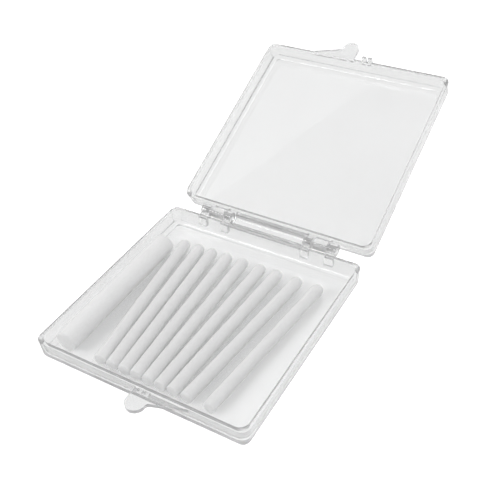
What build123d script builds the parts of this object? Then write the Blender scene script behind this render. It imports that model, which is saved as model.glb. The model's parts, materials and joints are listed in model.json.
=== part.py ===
"""Ear wax cleaner: slim soft swabs and one thick rod in a clear hinged case that stands open.

Millimetres, +Z up. The origin is the centre of the tray's underside. The hinge runs along X
behind the tray, and the thumb tabs are at the front, on the -Y side.
"""

from build123d import *

import os
from math import radians, sin, tan

os.makedirs("parts", exist_ok=True)

# Clear case, both halves
case_width = 86.0
case_depth = 87.6
tray_height = 8.0
lid_height = 8.2
rim_gap = 0.1  # between the two rims when the case is shut
wall = 1.4
panel = 1.3  # floor of the tray, top of the lid
draft = 3.5  # degrees, the walls lean out towards the rim
corner_radius = 2.8
hollow_corner_radius = 3.1
panel_edge_radius = 1.8
hollow_edge_radius = 3.0

# Hinge
open_angle = 156.5  # degrees from shut to where the lid stands
hinge_offset = 3.7  # from the back walls to the axis
hinge_height = 7.9
barrel_radius = 2.3
lug_gap = 0.35  # from the axis to the flat of a barrel's lug
inner_ear = (16.6, 20.0)  # from and to, along X, on each side of the middle
knuckle = (20.3, 26.6)
outer_ear = (26.9, 30.7)
gusset_depth = 2.2  # from the middle of the back wall, under each ear
gusset_height = 4.8
pin_radius = 0.9
pin_clearance = 0.05
pin_reach = 2.2  # how far a pin goes into the ear beside its knuckle

# Stop between the knuckles: a curved web on the lid, whose toe meets the tray's back wall
stop_half_width = 16.3
stop_radius = 3.5
stop_thickness = 1.2
stop_root = 1.75  # height of the web where it joins the lid's wall
stop_height = 1.0  # the toe meets the wall this far below the axis
stop_gap = 0.05
toe_length = 1.2
toe_reach = 2.4  # from the wall back into the arch

# Thumb tabs and catch
tab_offset = 5.0  # lobe's centre from the middle of the front
tab_radius = 3.7
tab_reach = 8.8
tab_thickness = 1.5
wing_angle = 18.0
wing_blend = 1.2
prong_width = 1.7
prong_depth = 1.0
prong_spacing = 2.7
prong_height = 1.6
prong_standoff = 0.25  # from the tray's front wall
prong_clearance = 0.2

# Swabs: a soft sleeve round a stiff stick, laid side by side and fanned out
swab_diameter = 4.7
swab_length = 68.0
swab_tip_radius = 2.2
swab_end_radius = 0.35
stick_radius = 0.9
stick_length = 60.0
contents_front = -37.6  # near ends of the swabs and the rod
near_station = -35.5
far_station = 19.4
swab_near_x = (-19.6, -14.55, -9.5, -4.45, 0.6, 5.65, 10.7, 16.4, 25.1)
swab_far_x = (-26.3, -20.0, -14.2, -7.5, -0.75, 6.7, 13.5, 21.7, 30.5)
lift_gap = 0.08  # contents above the floor

# Thick rod beside the left wall
rod_diameter = 8.4
rod_length = 61.6
rod_x = -34.4
rod_end_radius = 0.6

half_depth = case_depth / 2
case_height = tray_height + rim_gap + lid_height
lid_rim = tray_height + rim_gap
hinge_y = half_depth + hinge_offset
wall_middle = half_depth - wall / 2
hinge_axis = Axis((0, hinge_y, hinge_height), (1, 0, 0))


def shell(base, height):
    """Return a drafted, rounded half of the case, with its panel on the base plane."""
    up = Axis(base.origin, base.z_dir)
    outer_lean = height * tan(radians(draft))
    hollow_lean = (height - panel) * tan(radians(draft)) + wall
    with BuildPart() as half:
        with BuildSketch(base):
            RectangleRounded(case_width - 2 * outer_lean, case_depth - 2 * outer_lean, corner_radius)
        extrude(amount=height, taper=-draft)
        fillet(half.faces().filter_by(Axis.Z).sort_by(up)[0].edges(), panel_edge_radius)
        with BuildSketch(base.offset(panel)):
            RectangleRounded(
                case_width - 2 * hollow_lean, case_depth - 2 * hollow_lean, hollow_corner_radius
            )
        extrude(amount=height, taper=-draft, mode=Mode.SUBTRACT)
        fillet(half.faces().filter_by(Axis.Z).sort_by(up)[1].edges(), hollow_edge_radius)
    return half.part


def tab_outline(side, height):
    """Return the outline of a thumb tab: a round lobe with a long wing on its outer side."""
    lobe_y = tab_radius - half_depth - tab_reach
    inner = side * (tab_offset - tab_radius)
    outer = side * (tab_offset + tab_radius)
    with BuildSketch(Plane.XY.offset(height)) as outline:
        with BuildLine():
            edge = Line((inner, -wall_middle), (inner, lobe_y))
            lobe = ThreePointArc(edge @ 1, (side * tab_offset, lobe_y - tab_radius), (outer, lobe_y))
            blend = JernArc(lobe @ 1, (0, 1), wing_blend, -side * (90 - wing_angle))
            wing_length = (-wall_middle - (blend @ 1).Y) / sin(radians(wing_angle))
            wing = PolarLine(blend @ 1, wing_length, 90 - side * (90 - wing_angle))
            Line(wing @ 1, edge @ 0)
        make_face()
    return outline.sketch


def barrel_outline(x, up):
    """Return a hinge barrel and its lug to the back wall, above (up = 1) or below the axis."""
    lug_y = (wall_middle + hinge_y) / 2
    lug_z = hinge_height + up * (lug_gap + barrel_radius) / 2
    with BuildSketch(Plane.YZ.offset(x)) as outline:
        with Locations((hinge_y, hinge_height)):
            Circle(barrel_radius)
        with Locations((lug_y, lug_z)):
            Rectangle(hinge_y - wall_middle, barrel_radius - lug_gap)
    return outline.sketch


def gusset_outline(x):
    """Return the outline of the plate that carries an ear down the tray's back wall."""
    with BuildSketch(Plane.YZ.offset(x)) as outline:
        with Locations((wall_middle, hinge_height - lug_gap)):
            Rectangle(gusset_depth, gusset_height, align=(Align.MIN, Align.MAX))
    return outline.sketch


def stop_outline(x):
    """Return the lid's web: an arch over the shut hinge that ends in the toe of the stop."""
    toe = Vector(stop_gap - hinge_offset, -stop_height).rotate(Axis.Z, open_angle)
    with BuildSketch(Plane.YZ.offset(x)) as outline:
        with Locations((hinge_y, hinge_height)):
            Circle(stop_radius)
        with Locations((hinge_y + toe.X, hinge_height + toe.Y)):
            Rectangle(toe_reach, toe_length, align=(Align.MAX, Align.MIN))
        with Locations((wall_middle, hinge_height + lug_gap)):
            Rectangle(hinge_y - wall_middle, stop_root, align=Align.MIN)
        with Locations((hinge_y, hinge_height)):
            Circle(stop_radius - stop_thickness, mode=Mode.SUBTRACT)
        with Locations((hinge_y, hinge_height + lug_gap)):
            Rectangle(stop_radius, 2 * stop_radius, align=Align.MAX, mode=Mode.SUBTRACT)
        with Locations((hinge_y, hinge_height + toe.Y)):
            Rectangle(stop_radius, stop_radius, align=(Align.MIN, Align.MAX), mode=Mode.SUBTRACT)
    return outline.sketch


def swab_plane(near_x, far_x):
    """Return the plane of a swab's near end, whose normal runs along the swab."""
    slope = (far_x - near_x) / (far_station - near_station)
    end_x = near_x + slope * (contents_front - near_station)
    height = panel + lift_gap + swab_diameter / 2
    return Plane(origin=(end_x, contents_front, height), x_dir=(0, 0, 1), z_dir=(slope, 1, 0))


both_sides = (1, -1)
prong_y = -half_depth - prong_standoff - prong_depth / 2
prong_places = [(tab_offset + side * prong_spacing / 2, prong_y) for side in both_sides]

with BuildPart() as case_tray:
    add(shell(Plane.XY, tray_height))
    extrude(tab_outline(1, tray_height - tab_thickness), amount=tab_thickness)
    with BuildSketch(Plane.XY.offset(tray_height)):
        with Locations(*prong_places):
            Rectangle(
                prong_width + 2 * prong_clearance,
                prong_depth + 2 * prong_clearance,
            )
    extrude(amount=-tab_thickness, mode=Mode.SUBTRACT)
    for side in both_sides:
        for stretch in (inner_ear, outer_ear):
            start = side * stretch[0]
            ear_width = side * (stretch[1] - stretch[0])
            extrude(barrel_outline(start, -1), amount=ear_width)
            extrude(gusset_outline(start), amount=ear_width)
    with BuildSketch(Plane.YZ):
        with Locations((hinge_y, hinge_height)):
            Circle(pin_radius + pin_clearance)
    extrude(amount=case_width / 2, both=True, mode=Mode.SUBTRACT)
case_tray.part.label = "case_tray"
export_step(case_tray.part, "parts/case_tray.step")

shut_lid = Plane(origin=(0, 0, case_height), x_dir=(1, 0, 0), z_dir=(0, 0, -1))
with BuildPart() as case_lid:
    add(shell(shut_lid, lid_height))
    extrude(tab_outline(-1, lid_rim), amount=tab_thickness)
    with BuildSketch(Plane.XY.offset(tray_height - tab_thickness + rim_gap)):
        with Locations(*prong_places):
            Rectangle(prong_width, prong_depth)
    extrude(amount=tab_thickness + prong_height)
    with BuildSketch(Plane.XY.offset(lid_rim)):
        with Locations(*[(x, -wall_middle) for x, _ in prong_places]):
            Rectangle(prong_width, -wall_middle - prong_y, align=(Align.CENTER, Align.MAX))
    extrude(amount=prong_height)
    for side in both_sides:
        start = side * knuckle[0]
        extrude(barrel_outline(start, 1), amount=side * (knuckle[1] - knuckle[0]))
        with BuildSketch(Plane.YZ.offset(side * (knuckle[0] - pin_reach))):
            with Locations((hinge_y, hinge_height)):
                Circle(pin_radius)
        extrude(amount=side * (knuckle[1] - knuckle[0] + 2 * pin_reach))
    extrude(stop_outline(-stop_half_width), amount=2 * stop_half_width)
open_lid = case_lid.part.rotate(hinge_axis, -open_angle)
open_lid.label = "case_lid"
export_step(open_lid, "parts/case_lid.step")

end_up = (Align.CENTER, Align.CENTER, Align.MIN)
for number, (near_x, far_x) in enumerate(zip(swab_near_x, swab_far_x), start=1):
    lengthwise = swab_plane(near_x, far_x)
    along = Axis(lengthwise.origin, lengthwise.z_dir)
    with BuildPart(lengthwise) as swab:
        Cylinder(swab_diameter / 2, swab_length, align=end_up)
        ends = swab.edges().filter_by(GeomType.CIRCLE).sort_by(along)
        fillet(ends[-1], swab_tip_radius)
        fillet(ends[0], swab_end_radius)
        Cylinder(stick_radius, stick_length, align=end_up, mode=Mode.SUBTRACT)
    swab.part.label = f"swab_{number}"
    export_step(swab.part, f"parts/swab_{number}.step")

    with BuildPart(lengthwise) as stick:
        Cylinder(stick_radius, stick_length, align=end_up)
    stick.part.label = f"swab_stick_{number}"
    export_step(stick.part, f"parts/swab_stick_{number}.step")

rod_plane = Plane(
    origin=(rod_x, contents_front, panel + lift_gap + rod_diameter / 2),
    x_dir=(0, 0, 1),
    z_dir=(0, 1, 0),
)
with BuildPart(rod_plane) as thick_rod:
    Cylinder(rod_diameter / 2, rod_length, align=end_up)
    fillet(thick_rod.edges().filter_by(GeomType.CIRCLE), rod_end_radius)
thick_rod.part.label = "thick_rod"
export_step(thick_rod.part, "parts/thick_rod.step")
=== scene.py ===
"""Ear wax cleaner: nine soft swabs and a thick rod in a clear hinged case, on a glowing floor."""

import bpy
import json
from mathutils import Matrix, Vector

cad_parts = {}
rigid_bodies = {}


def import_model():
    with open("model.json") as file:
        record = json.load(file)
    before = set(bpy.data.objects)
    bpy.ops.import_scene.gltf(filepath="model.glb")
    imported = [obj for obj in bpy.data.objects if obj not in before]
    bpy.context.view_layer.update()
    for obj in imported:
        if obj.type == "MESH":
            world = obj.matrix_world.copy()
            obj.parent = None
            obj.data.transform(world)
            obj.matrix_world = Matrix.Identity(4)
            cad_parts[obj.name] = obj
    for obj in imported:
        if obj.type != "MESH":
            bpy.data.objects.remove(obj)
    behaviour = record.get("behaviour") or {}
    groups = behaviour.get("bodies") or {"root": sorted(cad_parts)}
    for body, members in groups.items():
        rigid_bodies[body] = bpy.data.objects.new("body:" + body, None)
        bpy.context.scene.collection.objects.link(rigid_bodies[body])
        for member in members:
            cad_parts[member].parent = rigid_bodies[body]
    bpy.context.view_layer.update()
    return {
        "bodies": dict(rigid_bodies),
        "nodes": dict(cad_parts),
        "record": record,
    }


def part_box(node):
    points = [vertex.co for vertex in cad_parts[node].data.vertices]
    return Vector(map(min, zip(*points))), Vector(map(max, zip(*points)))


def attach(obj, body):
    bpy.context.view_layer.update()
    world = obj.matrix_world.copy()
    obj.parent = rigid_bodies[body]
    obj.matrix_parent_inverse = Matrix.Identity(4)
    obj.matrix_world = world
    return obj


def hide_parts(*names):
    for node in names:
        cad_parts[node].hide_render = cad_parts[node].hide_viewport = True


bl_info = {
    "name": "Ear wax cleaner case",
    "version": (1, 0, 0),
    "blender": (4, 5, 0),
    "location": "3D View > Sidebar > Ear Care",
    "description": "Makes soft swabs, a thick rod and clear plastic finishes around a hinged case",
    "category": "Object",
}

import json
import math

import bpy
from bpy.props import FloatProperty, FloatVectorProperty, IntProperty, PointerProperty
from mathutils import Matrix, Vector

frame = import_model()

SWABS = [name for name in sorted(frame["bodies"]) if name.startswith("swab_")]

# Stage, in metres unless a line says otherwise
FLOOR_DROP = 0.0002  # how far the floor is below the case
MOTTLE_CELLS = 14.0  # in a metre of floor
MOTTLE_SHADE = 0.99
BRIGHT_SIDE = (-0.25, 0.65, 0.7)  # towards the brightest part of the sky
FULL_SKY = 0.75  # cosine of the angle round that side within which the sky is brightest
SENSOR_WIDTH = 36.0  # in millimetres
NEAREST_VIEW = 0.01
FARTHEST_VIEW = 20.0
LAMPS = {  # place, width, height and power in watts
    "key": ((-0.40, 0.34, 0.46), 0.55, 0.55, 0.50),
    "front_accent": ((-0.29, -0.42, 0.48), 0.30, 0.08, 0.85),
    "right_accent": ((0.34, 0.22, 0.60), 0.34, 0.10, 0.55),
}

# Clear plastic
HAZE_CELLS = 90.0  # in a metre, like the two below
RUBBED_CELLS = 420.0
FLOW_CELLS = 38.0
RUBBED_STRETCH = (1.0, 0.12, 1.0)  # under 1 makes a pattern longer along that axis
FLOW_STRETCH = (1.0, 0.5, 1.0)
CLOUDED_SHADE = 0.975
HAZE_ROUGHNESS = 0.03
RUBBED_ROUGHNESS = 0.05
FLOW_HEIGHT = 0.0004

# Soft fibre
SWAB_STRANDS = 1500.0  # in a metre
ROD_STRANDS = 1200.0
STRAND_STRETCH = (1.0, 0.45, 1.0)
LUMP_SHARE = 0.14  # lumps to one strand
FUZZ_SHARE = 4.0  # hairs to one strand
FIBRE_ROUGHNESS = 0.82
STRAND_ROUGHNESS = 0.15  # added where strands stand up
GLOW_SPREAD = (1.5, 1.5, 1.5)  # of red, green and blue light, in glow depths
STRAND_RELIEF = 0.00025

# Soft rods' shape
CAP_SHARES = (0.8, 0.75, 0.66, 0.5)  # each ring on a rod's end, as a share of the one outside it
TIP_STEPS = 12  # faces across the rounding of a far tip
END_STEPS = 5  # faces across the rounding of a near end
END_DEPTH = 0.2  # how far behind a CAD rod's lowest Y its near end is looked for, in radii
SIDE_CORNERS = 4  # only a rod's flat ends have faces with more corners
SAME_PLACE = 1e-6
LUMP_SIZE = 0.0045
FELT_SIZE = 0.0009


# ---------------------------------------------------------------- reading the frame


def box_centre(points):
    """Return the middle of the box round some points."""
    lowest = Vector(min(p[axis] for p in points) for axis in range(3))
    highest = Vector(max(p[axis] for p in points) for axis in range(3))
    return (lowest + highest) / 2


def run_of(node):
    """Return the near end, the direction, the length and the radius of a CAD rod along Y."""
    points = [vertex.co.copy() for vertex in frame["nodes"][node].data.vertices]
    low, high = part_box(node)
    radius = (high.z - low.z) / 2
    near = box_centre([p for p in points if p.y < low.y + radius * END_DEPTH])
    middle = (low.y + high.y) / 2
    near_half = [p for p in points if p.y < middle]
    far_half = [p for p in points if p.y >= middle]
    spread = box_centre(far_half) - box_centre(near_half)
    direction = Vector((spread.x, spread.y, 0)).normalized()
    reach = [p.dot(direction) for p in points]
    near += direction * (min(reach) - near.dot(direction))
    near.z = (low.z + high.z) / 2
    return near, direction, max(reach) - min(reach), radius


# ---------------------------------------------------------------- materials


def opaque(colour, shade=1.0):
    """Return a colour at this share of its brightness, with an alpha of one."""
    return (*(channel * shade for channel in colour), 1)


class Socket:
    """One output of a shader node, so that sums and products on it can be written as Python."""

    def __init__(self, finish, output):
        self.finish = finish
        self.output = output

    def maths(self, operation, first, second):
        """Add a Math node and return its value."""
        return self.finish.node("ShaderNodeMath", {"operation": operation}, {0: first, 1: second})

    def __add__(self, other):
        return self.maths("ADD", self, other)

    def __mul__(self, other):
        return self.maths("MULTIPLY", self, other)

    __radd__ = __add__
    __rmul__ = __mul__


class Finish:
    """The shader nodes of a material or of the sky, added one call at a time."""

    def __init__(self, owner):
        owner.use_nodes = True
        self.owner = owner
        self.tree = owner.node_tree
        self.tree.nodes.clear()

    def node(self, kind, settings=None, inputs=None, output=0):
        """Add a node of a kind, with its settings and the values or links of its sockets."""
        made = self.tree.nodes.new(kind)
        for name, value in (settings or {}).items():
            if name == "stops":
                self.set_stops(made.color_ramp, value)
            else:
                setattr(made, name, value)
        for name, value in (inputs or {}).items():
            if isinstance(value, Socket):
                self.tree.links.new(value.output, made.inputs[name])
            else:
                made.inputs[name].default_value = value
        return Socket(self, made.outputs[output] if made.outputs else None)

    @staticmethod
    def set_stops(ramp, stops):
        """Give a colour ramp its stops, as (place, grey) pairs."""
        while len(ramp.elements) < len(stops):
            ramp.elements.new(1.0)
        for element, (place, grey) in zip(ramp.elements, stops):
            element.position = place
            element.color = (grey, grey, grey, 1)

    def place(self, scale=(1, 1, 1)):
        """Return the piece's own coordinates in metres, stretched along its axes."""
        own = self.node("ShaderNodeTexCoord", output="Object")
        return self.node("ShaderNodeMapping", inputs={"Vector": own, "Scale": scale})

    def noise(self, scale, detail=2.0, roughness=0.5, stretch=(1, 1, 1)):
        """Return noise from 0 to 1 with this many cells in a metre."""
        return self.node(
            "ShaderNodeTexNoise",
            inputs={
                "Vector": self.place(stretch),
                "Scale": scale,
                "Detail": detail,
                "Roughness": roughness,
            },
        )

    def ramp(self, value, *stops):
        """Return a value passed through a ramp of (place, grey) stops."""
        return self.node("ShaderNodeValToRGB", {"stops": stops}, {"Fac": value})

    def mix_colours(self, factor, first, second):
        """Return a colour between two colours."""
        colours = {0: factor, 6: first, 7: second}
        return self.node("ShaderNodeMix", {"data_type": "RGBA"}, colours, output=2)

    def bump(self, height, strength, distance):
        """Return a normal bent by a height."""
        return self.node(
            "ShaderNodeBump",
            inputs={"Height": height, "Strength": strength, "Distance": distance},
            output="Normal",
        )

    def finish(self, surface, output="ShaderNodeOutputMaterial"):
        """Join a shader to the output and return the material or the sky."""
        self.node(output, inputs={"Surface": surface})
        return self.owner


def clear_polystyrene(settings):
    """Clear moulded plastic: faint flow waves, a trace of haze and fine rubbed lines."""
    finish = Finish(bpy.data.materials.new("clear_polystyrene"))
    haze = finish.noise(HAZE_CELLS, detail=3.0)
    scratches = finish.noise(RUBBED_CELLS, detail=4.0, roughness=0.6, stretch=RUBBED_STRETCH)
    rubbed = finish.ramp(scratches, (0.60, 0.0), (0.74, 1.0))
    flow = finish.noise(FLOW_CELLS, detail=1.0, roughness=0.4, stretch=FLOW_STRETCH)
    tint, clouded = opaque(settings.tint), opaque(settings.tint, CLOUDED_SHADE)
    glass = finish.node(
        "ShaderNodeBsdfPrincipled",
        inputs={
            "Base Color": finish.mix_colours(haze, tint, clouded),
            "Roughness": haze * HAZE_ROUGHNESS + rubbed * RUBBED_ROUGHNESS + settings.roughness,
            "Transmission Weight": 1.0,
            "IOR": settings.ior,
            "Normal": finish.bump(flow, settings.waviness, FLOW_HEIGHT),
        },
    )
    milk = finish.node("ShaderNodeBsdfTranslucent", inputs={"Color": opaque(settings.milk_colour)})
    body = finish.node("ShaderNodeMixShader", inputs={0: settings.milkiness, 1: glass, 2: milk})
    lamp_ray = finish.node("ShaderNodeLightPath", output="Is Shadow Ray")
    through = finish.node("ShaderNodeBsdfTransparent", inputs={"Color": opaque(settings.lamp_tint)})
    mixed = finish.node("ShaderNodeMixShader", inputs={0: lamp_ray, 1: body, 2: through})
    return finish.finish(mixed)


def soft_fibre(settings, name, strand_cells):
    """Matte white bonded fibre that glows through: short felted strands over soft lumps, with painted shade
    darkening the hollows between them.
    """
    finish = Finish(bpy.data.materials.new(name))
    strands = finish.noise(strand_cells, detail=6.0, roughness=0.65, stretch=STRAND_STRETCH)
    lumps = finish.noise(strand_cells * LUMP_SHARE)
    fuzz = finish.noise(strand_cells * FUZZ_SHARE, detail=3.0, roughness=0.7)
    # Painted shade: the colour is darkened where the strands and lumps are low, standing in for the shade
    # that falls in the hollows.
    painted_shade_mask = finish.ramp(strands * 0.7 + lumps * 0.3, (0.38, 1.0), (0.58, 0.0))
    relief = strands * 0.6 + lumps * 0.8 + fuzz * 0.25
    pale, painted_shade_colour = opaque(settings.colour), opaque(settings.colour, settings.painted_hollow_shade)
    body = finish.node(
        "ShaderNodeBsdfPrincipled",
        inputs={
            "Base Color": finish.mix_colours(painted_shade_mask, pale, painted_shade_colour),
            "Roughness": strands * STRAND_ROUGHNESS + FIBRE_ROUGHNESS,
            "Specular IOR Level": 0.2,
            "Sheen Weight": settings.sheen,
            "Sheen Roughness": 0.6,
            "Subsurface Weight": settings.softness,
            "Subsurface Radius": GLOW_SPREAD,
            "Subsurface Scale": settings.glow_depth,
            "Normal": finish.bump(relief, settings.bump, STRAND_RELIEF),
        },
    )
    return finish.finish(body)


def studio_floor(settings):
    """Pale matte board with a barely seen mottle, which gives off light of its own."""
    finish = Finish(bpy.data.materials.new("studio_floor"))
    mottle = finish.noise(MOTTLE_CELLS)
    pale, dim = opaque(settings.floor_colour), opaque(settings.floor_colour, MOTTLE_SHADE)
    board = finish.node(
        "ShaderNodeBsdfPrincipled",
        inputs={
            "Base Color": finish.mix_colours(mottle, pale, dim),
            "Roughness": 0.9,
            "Specular IOR Level": 0.1,
            "Emission Color": (1, 1, 1, 1),
            "Emission Strength": settings.floor_glow,
        },
    )
    return finish.finish(board)


# ---------------------------------------------------------------- settings a user would change


class CaseSettings(bpy.types.PropertyGroup):
    """The clear case's finish."""

    tint: FloatVectorProperty(
        name="Tint", description="Colour of the clear plastic", default=(0.705, 0.708, 0.709),
        min=0, max=1, subtype="COLOR",
    )
    lamp_tint: FloatVectorProperty(
        name="Lamp tint", description="Share of lamp light let through one face",
        default=(0.985, 0.985, 0.985), min=0, max=1, subtype="COLOR",
    )
    milkiness: FloatProperty(
        name="Milkiness", description="Share of light scattered in the plastic", default=0.15, min=0, max=1
    )
    milk_colour: FloatVectorProperty(
        name="Milk colour", description="Colour of the scattered light", default=(0.9, 0.9, 0.9),
        min=0, max=1, subtype="COLOR",
    )
    roughness: FloatProperty(
        name="Roughness", description="Roughness of the polished faces", default=0.012, min=0, max=1
    )
    ior: FloatProperty(
        name="Index of refraction", description="Of clear polystyrene", default=1.57, min=1, max=2
    )
    waviness: FloatProperty(
        name="Waviness", description="Strength of the moulded flow waves", default=0.12, min=0, max=1
    )


class SwabSettings(bpy.types.PropertyGroup):
    """The shape and the finish of the soft swabs and the thick rod."""

    sides: IntProperty(name="Sides", description="Faces round a swab", default=56, min=12, max=128)
    rings: IntProperty(name="Rings", description="Cuts along a swab", default=150, min=4, max=400)
    tip_share: FloatProperty(
        name="Tip roundness", description="Tip's rounding, as a share of the radius",
        default=0.94, min=0.1, max=0.98,
    )
    end_rounding: FloatProperty(
        name="End rounding", description="Rounding of the near end", default=0.00045,
        min=0, unit="LENGTH",
    )
    roll_end_share: FloatProperty(
        name="Roll end share", description="Rounding of the thick rod's far end, as a share of its radius",
        default=0.16, min=0.02, max=0.98,
    )
    roll_end_rounding: FloatProperty(
        name="Roll end rounding", description="Rounding of the thick rod's near end", default=0.0006,
        min=0, unit="LENGTH",
    )
    lump_height: FloatProperty(
        name="Lump height", description="Height of the soft lumps", default=0.00016,
        min=0, unit="LENGTH",
    )
    felt_height: FloatProperty(
        name="Felt height", description="Height of the felted strands", default=0.00008,
        min=0, unit="LENGTH",
    )
    colour: FloatVectorProperty(
        name="Colour", description="Colour of the soft fibre", default=(0.95, 0.95, 0.95),
        min=0, max=1, subtype="COLOR",
    )
    # Painted shade: how far the fibre's colour is darkened in the hollows between strands.
    painted_hollow_shade: FloatProperty(
        name="Hollow shade", description="How dark the hollows between strands are",
        default=0.95, min=0, max=1,
    )
    sheen: FloatProperty(name="Sheen", description="Fuzz at the edges", default=0.15, min=0, max=1)
    softness: FloatProperty(
        name="Softness", description="Share of light that spreads inside", default=1.0, min=0, max=1
    )
    glow_depth: FloatProperty(
        name="Glow depth", description="How far light spreads inside", default=0.007,
        min=0, unit="LENGTH",
    )
    bump: FloatProperty(
        name="Strand relief", description="Strength of the strands' relief", default=0.6, min=0, max=1
    )


class StageSettings(bpy.types.PropertyGroup):
    """The glowing floor, the light and the camera."""

    floor_side: FloatProperty(
        name="Floor side", description="Side of the floor", default=4.0, min=0.5, unit="LENGTH"
    )
    floor_colour: FloatVectorProperty(
        name="Floor colour", description="Colour of the floor", default=(0.93, 0.93, 0.93),
        min=0, max=1, subtype="COLOR",
    )
    floor_glow: FloatProperty(
        name="Floor glow", description="Strength of the floor's own light", default=0.47, min=0
    )
    sky: FloatProperty(name="Sky", description="Strength of the sky", default=0.63, min=0)
    dim_side: FloatProperty(
        name="Dim side", description="Grey of the sky away from its bright side", default=0.85, min=0, max=1
    )
    bounces: IntProperty(
        name="Bounces", description="How often light may turn inside the clear plastic", default=28, min=4
    )
    exposure: FloatProperty(name="Exposure", description="In stops", default=0.0)
    camera_place: FloatVectorProperty(
        name="Camera place", description="Where the camera stands",
        default=(0.1249, -0.1630, 0.2015), subtype="TRANSLATION", unit="LENGTH",
    )
    camera_turn: FloatProperty(
        name="Camera turn", description="Left of the Y axis", default=math.radians(33.16), subtype="ANGLE"
    )
    camera_drop: FloatProperty(
        name="Camera drop", description="Below the horizon", default=math.radians(39.23), subtype="ANGLE"
    )
    camera_roll: FloatProperty(
        name="Camera roll", description="About the line of sight", default=math.radians(-4.3),
        subtype="ANGLE",
    )
    lens: FloatProperty(
        name="Lens", description="Focal length on a 36 mm frame", default=57.45,
        min=1, subtype="DISTANCE_CAMERA",
    )


# ---------------------------------------------------------------- shaping


def deselect_all():
    """Leave nothing selected and no active object."""
    for thing in bpy.context.selected_objects:
        thing.select_set(False)
    bpy.context.view_layer.objects.active = None


def make_active(piece):
    """Select one piece alone and make it active."""
    deselect_all()
    piece.select_set(True)
    bpy.context.view_layer.objects.active = piece


def pick_edges(piece, wanted):
    """Select, in edit mode, only the edges for which wanted(start, end) is true."""
    bpy.ops.mesh.select_all(action="DESELECT")
    bpy.ops.object.mode_set(mode="OBJECT")
    points = piece.data.vertices
    for edge in piece.data.edges:
        start, end = (points[index].co for index in edge.vertices)
        edge.select = wanted(start, end)
    bpy.ops.object.mode_set(mode="EDIT")


def pick_caps(piece):
    """Select, in edit mode, only the many-sided faces at a rod's two ends."""
    bpy.ops.mesh.select_all(action="DESELECT")
    bpy.ops.mesh.select_mode(type="FACE")
    bpy.ops.object.mode_set(mode="OBJECT")
    for face in piece.data.polygons:
        face.select = len(face.vertices) > SIDE_CORNERS
    bpy.ops.object.mode_set(mode="EDIT")


def apply_modifier(piece, kind, name, **settings):
    """Add a modifier with its settings and apply it."""
    modifier = piece.modifiers.new(name, kind)
    for setting, value in settings.items():
        setattr(modifier, setting, value)
    make_active(piece)
    bpy.ops.object.modifier_apply(modifier=name)


def cloudy(name, size, depth):
    """Return a cloudy height field with lumps of this size."""
    field = bpy.data.textures.new(name, "CLOUDS")
    field.noise_scale = size
    field.noise_depth = depth
    return field


def soft_rod(name, node, settings, tip_share, end_rounding):
    """Model a soft round rod where a CAD rod lies, with a rounded far tip and a felted skin."""
    near, direction, length, radius = run_of(node)
    skin = settings.lump_height + settings.felt_height
    core = radius - skin / 2
    deselect_all()
    bpy.ops.mesh.primitive_cylinder_add(
        vertices=settings.sides, radius=core, depth=length, end_fill_type="NGON",
        location=(0, 0, length / 2),
    )
    rod = bpy.context.active_object
    rod.name = name
    bpy.ops.object.transform_apply(location=True, rotation=False, scale=False)
    bpy.ops.object.mode_set(mode="EDIT")
    bpy.ops.mesh.select_mode(type="EDGE")
    tip, end = (length, core * tip_share, TIP_STEPS), (0.0, end_rounding, END_STEPS)
    for height, rounding, steps in (tip, end):
        pick_edges(rod, lambda a, b: abs(a.z - height) + abs(b.z - height) < SAME_PLACE)
        bpy.ops.mesh.bevel(offset=rounding, segments=steps, profile=0.5, affect="EDGES")
    pick_edges(rod, lambda a, b: abs(a.z - b.z) > length / 2)
    bpy.ops.mesh.subdivide(number_cuts=settings.rings)
    pick_caps(rod)
    for share in CAP_SHARES:
        bpy.ops.mesh.inset(thickness=0, depth=0)
        bpy.ops.transform.resize(value=(share, share, 1.0), center_override=(0, 0, 0))
    bpy.ops.mesh.poke()
    bpy.ops.object.mode_set(mode="OBJECT")
    stand = direction.to_track_quat("Z", "X").to_matrix().to_4x4()
    rod.matrix_world = Matrix.Translation(near) @ stand
    bpy.ops.object.transform_apply(location=True, rotation=True, scale=True)
    lumpy = ("lumps", LUMP_SIZE, 1, settings.lump_height)
    felted = ("felt", FELT_SIZE, 2, settings.felt_height)
    for relief, size, depth, height in (lumpy, felted):
        apply_modifier(
            rod, "DISPLACE", relief, texture=cloudy(f"{name}_{relief}", size, depth),
            texture_coords="GLOBAL", strength=height, mid_level=0.5,
        )
    bpy.ops.object.shade_smooth()
    return rod


# ---------------------------------------------------------------- operators


class EARCARE_OT_case(bpy.types.Operator):
    """Give the tray and the lid their clear moulded plastic"""

    bl_idname = "earcare.case"
    bl_label = "Clear case"

    def execute(self, context):
        plastic = clear_polystyrene(context.scene.earcare_case)
        for node in ("case_tray", "case_lid"):
            piece = frame["nodes"][node]
            piece.data.materials.clear()
            piece.data.materials.append(plastic)
        return {"FINISHED"}


class EARCARE_OT_swabs(bpy.types.Operator):
    """Model the soft swabs side by side in the tray"""

    bl_idname = "earcare.swabs"
    bl_label = "Swabs"

    def execute(self, context):
        settings = context.scene.earcare_swabs
        fibre = soft_fibre(settings, "swab_fibre", SWAB_STRANDS)
        for body in SWABS:
            sleeve = soft_rod(
                f"{body}_sleeve", body, settings, settings.tip_share, settings.end_rounding
            )
            sleeve.data.materials.append(fibre)
            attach(sleeve, body)
            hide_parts(*frame["record"]["behaviour"]["bodies"][body])
        return {"FINISHED"}


class EARCARE_OT_thick_rod(bpy.types.Operator):
    """Model the thick rod beside the left wall"""

    bl_idname = "earcare.thick_rod"
    bl_label = "Thick rod"

    def execute(self, context):
        settings = context.scene.earcare_swabs
        rod = soft_rod(
            "thick_rod_roll", "thick_rod", settings, settings.roll_end_share, settings.roll_end_rounding
        )
        rod.data.materials.append(soft_fibre(settings, "rod_fibre", ROD_STRANDS))
        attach(rod, "thick_rod")
        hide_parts("thick_rod")
        return {"FINISHED"}


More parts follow.
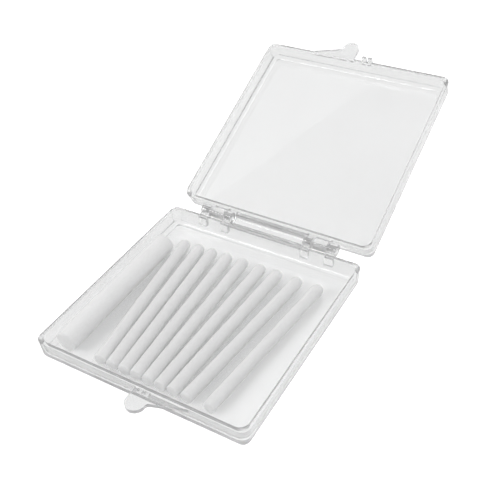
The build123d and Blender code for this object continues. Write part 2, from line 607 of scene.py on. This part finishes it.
class EARCARE_OT_stage(bpy.types.Operator):
    """Set the glowing floor, the soft light and the camera"""

    bl_idname = "earcare.stage"
    bl_label = "Stage"

    def execute(self, context):
        settings = context.scene.earcare_stage
        scene = context.scene
        deselect_all()
        bpy.ops.mesh.primitive_plane_add(size=settings.floor_side, location=(0, 0, -FLOOR_DROP))
        floor = context.active_object
        floor.name = "studio_floor"
        floor.data.materials.append(studio_floor(settings))
        self.set_sky(scene, settings)
        for name, (place, width, height, power) in LAMPS.items():
            self.add_lamp(name, place, width, height, power)
        camera_data = bpy.data.cameras.new("studio_camera")
        camera_data.lens = settings.lens
        camera_data.sensor_width = SENSOR_WIDTH
        camera_data.clip_start = NEAREST_VIEW
        camera_data.clip_end = FARTHEST_VIEW
        camera = bpy.data.objects.new("studio_camera", camera_data)
        camera.matrix_world = (
            Matrix.Translation(settings.camera_place)
            @ Matrix.Rotation(settings.camera_turn, 4, "Z")
            @ Matrix.Rotation(math.pi / 2 - settings.camera_drop, 4, "X")
            @ Matrix.Rotation(settings.camera_roll, 4, "Z")
        )
        scene.collection.objects.link(camera)
        scene.camera = camera
        scene.cycles.max_bounces = settings.bounces
        scene.cycles.transmission_bounces = settings.bounces
        scene.cycles.transparent_max_bounces = settings.bounces
        scene.view_settings.view_transform = "Standard"
        scene.view_settings.exposure = settings.exposure
        return {"FINISHED"}

    @staticmethod
    def set_sky(scene, settings):
        """Light everything from a sky that is white on its bright side and greyer opposite."""
        sky = Finish(bpy.data.worlds.new("soft_sky"))
        direction = sky.node("ShaderNodeTexCoord", output="Generated")
        facing = sky.node(
            "ShaderNodeVectorMath",
            {"operation": "DOT_PRODUCT"},
            {0: direction, 1: Vector(BRIGHT_SIDE).normalized()},
            output="Value",
        )
        shade = sky.ramp(facing, (0.0, settings.dim_side), (FULL_SKY, 1.0))
        light = sky.node("ShaderNodeBackground", inputs={"Color": shade, "Strength": settings.sky})
        scene.world = sky.finish(light, "ShaderNodeOutputWorld")

    @staticmethod
    def add_lamp(name, place, width, height, power):
        """Add a soft lamp that faces the middle of the case."""
        lamp_data = bpy.data.lights.new(name, "AREA")
        lamp_data.shape = "RECTANGLE"
        lamp_data.size = width
        lamp_data.size_y = height
        lamp_data.energy = power
        lamp = bpy.data.objects.new(name, lamp_data)
        lamp.location = place
        lamp.rotation_mode = "QUATERNION"
        lamp.rotation_quaternion = (-Vector(place)).to_track_quat("-Z", "Y")
        bpy.context.scene.collection.objects.link(lamp)


class EARCARE_PT_panel(bpy.types.Panel):
    """Lists the pieces and their settings"""

    bl_label = "Ear wax cleaner"
    bl_idname = "EARCARE_PT_panel"
    bl_space_type = "VIEW_3D"
    bl_region_type = "UI"
    bl_category = "Ear Care"

    def draw(self, context):
        layout = self.layout
        for operator, settings in STEPS:
            box = layout.box()
            box.operator(operator)
            group = getattr(context.scene, settings)
            for name in group.__annotations__:
                box.prop(group, name)


STEPS = (
    ("earcare.case", "earcare_case"),
    ("earcare.swabs", "earcare_swabs"),
    ("earcare.thick_rod", "earcare_swabs"),
    ("earcare.stage", "earcare_stage"),
)
GROUPS = {
    "earcare_case": CaseSettings,
    "earcare_swabs": SwabSettings,
    "earcare_stage": StageSettings,
}
CLASSES = (
    *GROUPS.values(),
    EARCARE_OT_case,
    EARCARE_OT_swabs,
    EARCARE_OT_thick_rod,
    EARCARE_OT_stage,
    EARCARE_PT_panel,
)


def register():
    """Register the settings, the operators and the panel."""
    for made in CLASSES:
        bpy.utils.register_class(made)
    for name, group in GROUPS.items():
        setattr(bpy.types.Scene, name, PointerProperty(type=group))


def unregister():
    """Remove what register added."""
    for name in GROUPS:
        delattr(bpy.types.Scene, name)
    for made in reversed(CLASSES):
        bpy.utils.unregister_class(made)


def main():
    """Make every piece in order."""
    register()
    for operator, _ in STEPS:
        group, name = operator.split(".")
        getattr(getattr(bpy.ops, group), name)()


if __name__ == "__main__":
    main()
